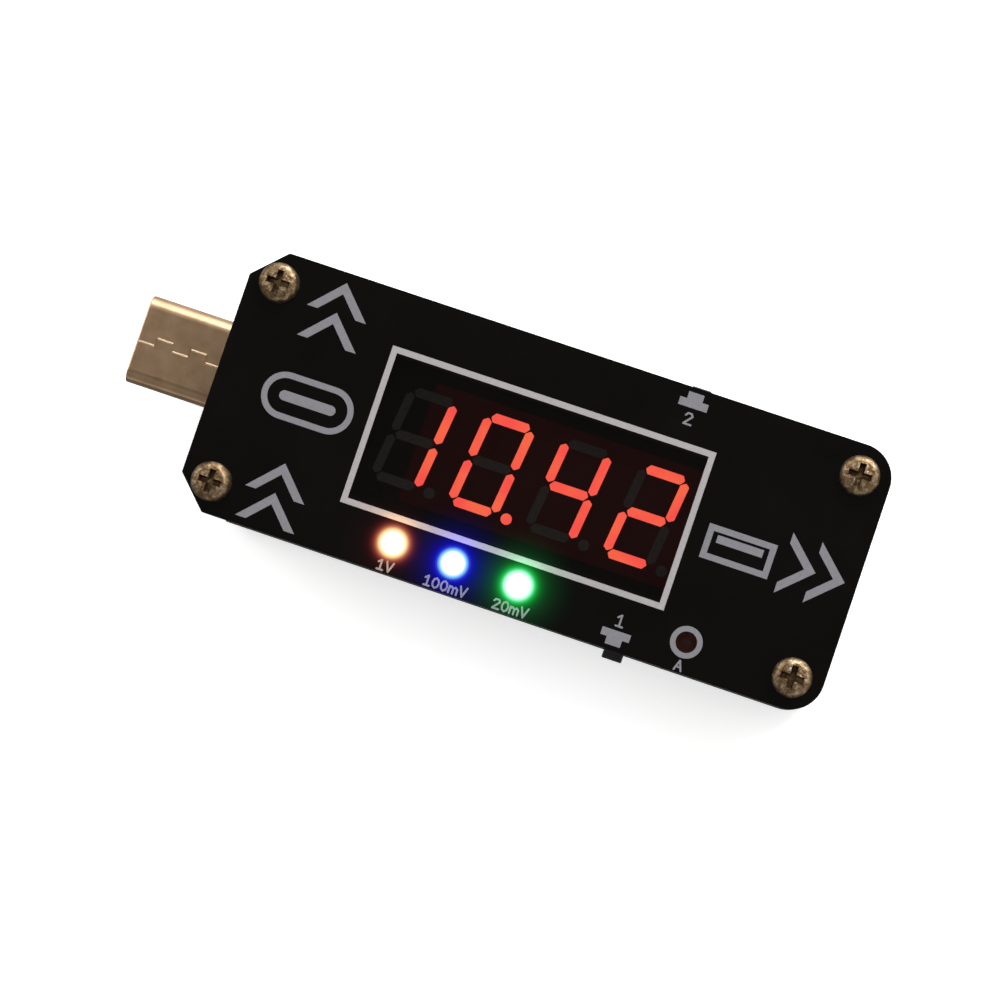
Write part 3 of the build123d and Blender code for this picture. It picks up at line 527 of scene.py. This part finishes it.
def solder_mask():
    """Green board: traces show as paler ridges on the faces, and the cut sides are bare laminate."""
    shader = Shader("solder_mask")
    traces = shader.add("ShaderNodeTexBrick")
    shader.put(shader.place, traces.inputs["Vector"])
    traces.inputs["Scale"].default_value = trace_scale
    traces.inputs["Mortar Size"].default_value = trace_width
    traces.inputs["Mortar Smooth"].default_value = trace_softness
    for name, level in (("Color1", 0), ("Color2", 0), ("Mortar", 1)):
        traces.inputs[name].default_value = (level, level, level, 1)
    lines = traces.outputs["Color"]
    zone = shader.ramp(shader.noise(5 * MM, 1), (0.48, 0.0), (0.52, 1.0))
    lines = shader.mix(1.0, lines, zone, "MULTIPLY")
    mask = shader.mix(lines, (0.004, 0.045, 0.017), (0.012, 0.12, 0.045))
    weave = shader.noise(0.2 * MM, 2, 0.5, shader.stretch(1, 1, 6))
    laminate = shader.mix(weave, (0.30, 0.27, 0.12), (0.52, 0.47, 0.24))
    steepness = shader.math("ABSOLUTE", shader.axis("Z", normal=True))
    up_face = shader.ramp(steepness, (0.4, 0.0), (0.6, 1.0))
    shader.set(Base_Color=shader.mix(up_face, laminate, mask),
               Roughness=shader.blend(up_face, 0.6, 0.28), IOR=1.5)
    shader.bump(lines, trace_height, 0.7)
    return shader.material


# The red glow painted on the display's face round the lit bars reaches this far past their box.
painted_glow_reach = Vector((0.9, 0.9, 0)) * MM
printed_depth = 0.35 * MM


def display_shell():
    """Pale moulded body with a matt black printed face, and a faint red glow painted on the face round the
    lit bars.
    """
    shader = Shader("display_shell")
    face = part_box("display_housing")[1].z
    fine = shader.noise(0.1 * MM, 3, 0.6)
    height = shader.math("SUBTRACT", shader.axis("Z"), face - printed_depth)
    printed = shader.ramp(shader.math("MULTIPLY", height, 1 / MM), (0.1, 0.0), (0.2, 1.0))
    body = shader.ramp(shader.noise(2 * MM), (0.3, (0.50, 0.49, 0.45)), (0.7, (0.58, 0.57, 0.53)))
    ink = shader.mix(fine, (0.004, 0.0038, 0.0036), (0.008, 0.0075, 0.007))
    low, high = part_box("lit_segments")
    near_bars = shader.inside(low - painted_glow_reach, high + painted_glow_reach)
    # Painted light: a faint red emission on the printed face near the lit bars.
    painted_bar_glow = shader.math("MULTIPLY", near_bars, printed)
    shader.set(Base_Color=shader.mix(printed, body, ink), Roughness=shader.blend(fine, 0.42, 0.6),
               Emission_Color=shader.mix(painted_bar_glow, (0, 0, 0), (0.06, 0.0, 0.0)), Emission_Strength=1.0)
    shader.bump(fine, 0.006 * MM, 0.5)
    return shader.material


bar_drift = 2.2 * MM
bar_strength = 9.0


def lit_bar():
    """Red light pipe with its die's light: orange in places, redder at others."""
    shader = Shader("lit_bar")
    drift = shader.noise(bar_drift, 2, 0.5)
    colour = shader.ramp(drift, (0.36, (1.0, 0.088, 0.070)), (0.64, (1.0, 0.138, 0.066)))
    shader.set(Base_Color=(0.5, 0.12, 0.1), Roughness=0.35, Emission_Color=colour,
               Emission_Strength=bar_strength)
    return shader.material


def unlit_bar():
    """Milky grey light pipe with a faint glow painted on for the stray light it catches."""
    shader = Shader("unlit_bar")
    milk = shader.noise(0.5 * MM, 3, 0.6)
    shader.set(Base_Color=shader.ramp(milk, (0.3, (0.24, 0.22, 0.20)), (0.7, (0.33, 0.30, 0.27))),
               Roughness=0.3, Emission_Color=(0.045, 0.040, 0.035), Emission_Strength=1.0)
    return shader.material


die_depth = 1.2 * MM
lens_reach = 3.4 * MM
lit_strength = 3.2


def lens(name, node, core, rim, strength):
    """Diffused LED lens: white hot over its die, coloured towards its rim and foot."""
    shader = Shader(name)
    centre = middle(node)
    spot = Vector((centre.x, centre.y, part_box(node)[1].z - die_depth))
    near = shader.math("DIVIDE", shader.distance(spot, flat=False), lens_reach)
    cloud = shader.noise(0.5 * MM, 3, 0.6)
    shader.set(Base_Color=shader.mix(cloud, rim, tuple(min(1, c * 1.2) for c in rim)), Roughness=0.16,
               IOR=1.53, Coat_Weight=0.3)
    if strength:
        heat = shader.ramp(near, (0.34, core), (0.5, tuple(c * 0.5 for c in rim)),
                           (0.95, tuple(c * 0.05 for c in rim)))
        shader.set(Emission_Color=heat, Emission_Strength=strength)
    return shader.material


seam_start = 0.1 * MM
seam_run = 1.62 * MM
seam_step = 0.72 * MM
seam_lip = 0.17 * MM
seam_rise = 0.05 * MM


def seam_ridge(shader):
    """Height of the raised lips beside the plug's stepped seam, from 0 to 1."""
    low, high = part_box("plug_shell")
    along = shader.math("DIVIDE", shader.math("SUBTRACT", shader.axis("X"), low.x + seam_start), seam_run)
    odd = shader.math("MODULO", shader.math("FLOOR", along), 2.0)
    centre_y = middle("plug_core").y
    seam_y = shader.blend(odd, centre_y - seam_step / 2, centre_y + seam_step / 2)
    off = shader.math("ABSOLUTE", shader.math("SUBTRACT", shader.axis("Y"), seam_y))
    ridge = shader.math("SUBTRACT", 1.0, shader.math("DIVIDE", off, seam_lip))
    within = shader.math("PINGPONG", along, 0.5)
    ends = shader.ramp(within, (0.03, 0.0), (0.07, 1.0))
    return shader.math("MULTIPLY", shader.math("MAXIMUM", ridge, 0.0), ends)


def plug_bronze():
    """Bronze-plated shell, drawn along its length, scuffed, with its seam's lips painted brighter: partly
    burnished metal, partly a painted highlight.
    """
    shader = Shader("plug_bronze")
    drawn = shader.noise(0.08 * MM, 3, 0.6, shader.stretch(0.05, 1, 1))
    cloud = shader.noise(1.6 * MM, 3, 0.6)
    colour = shader.ramp(cloud, (0.3, (0.66, 0.42, 0.24)), (0.7, (0.84, 0.57, 0.35)))
    rub = shader.noise(0.3 * MM, 4, 0.75, shader.stretch(0.3, 1, 1))
    scuff = shader.ramp(rub, (0.62, 0.0), (0.72, 1.0))
    colour = shader.mix(shader.math("MULTIPLY", scuff, 0.25), colour, (0.75, 0.62, 0.48))
    ridge = seam_ridge(shader)
    # The seam's lips are painted brighter: part burnished metal, part a painted highlight on their edges.
    seam_burnish_and_highlight = shader.ramp(ridge, (0.15, 0.0), (0.5, 1.0))
    shader.set(Base_Color=shader.mix(seam_burnish_and_highlight, colour, (0.80, 0.64, 0.46)), Metallic=1.0,
               Roughness=shader.blend(drawn, 0.24, 0.38))
    shader.bump(drawn, 0.004 * MM, 0.4)
    shader.bump(ridge, seam_rise, 1.0)
    return shader.material


finishes = {
    "top_panel": acrylic("smoked_acrylic", True),
    "bottom_panel": acrylic("black_acrylic", False),
    "panel_legend": engraving(),
    "circuit_board": solder_mask(),
    "display_housing": display_shell(),
    "lit_segments": lit_bar(),
    "unlit_segments": unlit_bar(),
    "led_amber": lens("amber_lens", "led_amber", (1, 0.9, 0.7), (1.0, 0.42, 0.08), lit_strength),
    "led_blue": lens("blue_lens", "led_blue", (0.8, 0.95, 1), (0.03, 0.12, 1.0), lit_strength),
    "led_green": lens("green_lens", "led_green", (0.85, 1, 0.88), (0.03, 0.95, 0.2), lit_strength),
    "led_red": lens("red_lens", "led_red", (0, 0, 0), (0.17, 0.055, 0.045), 0),
    "plug_shell": plug_bronze(),
}

brass = screw_brass()
bright_brass = metal("turned_brass", (0.55, 0.38, 0.17), (0.72, 0.52, 0.26), 0.26, brush=(1, 1, 0.1))
nickel = metal("nickel_sheet", (0.46, 0.46, 0.45), (0.62, 0.62, 0.60), 0.24, brush=(0.08, 1, 1))
stamped = metal("stamped_steel", (0.50, 0.50, 0.49), (0.66, 0.66, 0.64), 0.28, brush=(0.1, 1, 1))
tin = metal("tinned_wire", (0.52, 0.52, 0.50), (0.70, 0.70, 0.68), 0.30)
solder = metal("solder", (0.50, 0.50, 0.49), (0.70, 0.70, 0.69), 0.16, bump=0.01)
gold = metal("gold_flash", (0.72, 0.50, 0.18), (0.86, 0.64, 0.28), 0.20, brush=(0.1, 1, 1))
can = metal("drawn_can", (0.60, 0.60, 0.61), (0.76, 0.76, 0.77), 0.22, brush=(1, 1, 0.1))
black = plastic("black_nylon", (0.012, 0.012, 0.013), (0.024, 0.024, 0.025), 0.45)
key_black = plastic("key_plastic", (0.010, 0.010, 0.010), (0.018, 0.018, 0.018), 0.5)
natural = plastic("natural_nylon", (0.58, 0.57, 0.52), (0.68, 0.67, 0.62), 0.5)
insulator = plastic("white_insulator", (0.64, 0.63, 0.59), (0.76, 0.75, 0.71), 0.42)
epoxy = plastic("chip_epoxy", (0.011, 0.011, 0.012), (0.024, 0.024, 0.026), 0.55, bump=0.012)
ceramic = plastic("fired_ceramic", (0.30, 0.19, 0.10), (0.42, 0.28, 0.16), 0.4)
laminate = plastic("bare_laminate", (0.28, 0.24, 0.11), (0.38, 0.33, 0.17), 0.5)
cast = plastic("cast_epoxy", (0.42, 0.34, 0.20), (0.56, 0.47, 0.31), 0.18)

shared = {
    brass: ("top_screws", "bottom_screws"),
    bright_brass: ("standoffs",),
    nickel: ("socket_shell",),
    stamped: ("k1_cover", "k2_cover", "plug_latches"),
    tin: ("display_pins", "led_leads", "k1_terminals", "k2_terminals", "controller_leads",
          "amplifier_leads", "regulator_leads", "chip_terminals"),
    solder: ("solder_joints",),
    gold: ("plug_contacts", "socket_contacts"),
    can: ("capacitor_can", "crystal_lid"),
    black: ("plug_core", "k1_base", "k2_base", "capacitor_base"),
    key_black: ("k1_button", "k2_button"),
    natural: ("lower_spacers",),
    insulator: ("socket_insulator",),
    epoxy: ("controller_chip", "amplifier_chip", "regulator_chip", "shunt_resistor", "chip_resistors"),
    ceramic: ("chip_capacitors", "crystal_base"),
    laminate: ("display_die_board",),
    cast: ("display_potting",),
}
for material, names in shared.items():
    for name in names:
        finishes[name] = material
for name, material in finishes.items():
    mesh = nodes[name].data
    mesh.materials.clear()
    mesh.materials.append(material)


# ---- snap discs under the keys: they flatten as the key goes in ----
disc_rings = 10
disc_sides = 48
disc_thickness = 0.07 * MM


def snap_disc(number, outward):
    """A shallow round dome with a raised centre, standing on the key chamber's back wall."""
    low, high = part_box(f"k{number}_dome")
    centre = (low + high) / 2
    radius = (high.x - low.x) / 2
    rise = high.y - low.y
    wall = low.y if outward > 0 else high.y
    form = bmesh.new()
    apex = form.verts.new((centre.x, wall + outward * (rise - disc_thickness), centre.z))
    rings = []
    for ring in range(1, disc_rings + 1):
        reach = radius * ring / disc_rings
        height = (rise - disc_thickness) * (1 - (ring / disc_rings) ** 2)
        rings.append([form.verts.new((centre.x + reach * math.cos(turn), wall + outward * height,
                                      centre.z + reach * math.sin(turn)))
                      for turn in (math.tau * step / disc_sides for step in range(disc_sides))])
    for step in range(disc_sides):
        following = (step + 1) % disc_sides
        form.faces.new((apex, rings[0][step], rings[0][following]))
        for inner, outer in zip(rings, rings[1:]):
            form.faces.new((inner[step], outer[step], outer[following], inner[following]))
    bmesh.ops.recalc_face_normals(form, faces=form.faces)
    if form.faces[0].normal.y * outward < 0:
        bmesh.ops.reverse_faces(form, faces=form.faces)
    for face in form.faces:
        face.smooth = True
    mesh = bpy.data.meshes.new(f"k{number}_snap_disc")
    form.to_mesh(mesh)
    form.free()
    mesh.materials.append(stamped)
    disc = bpy.data.objects.new(f"k{number}_snap_disc", mesh)
    bpy.context.scene.collection.objects.link(disc)
    shell = disc.modifiers.new("sheet", "SOLIDIFY")
    shell.thickness = disc_thickness
    shell.offset = 1
    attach(disc, "case")
    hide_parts(f"k{number}_dome")
    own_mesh(disc)


snap_disc(1, -1)
snap_disc(2, 1)
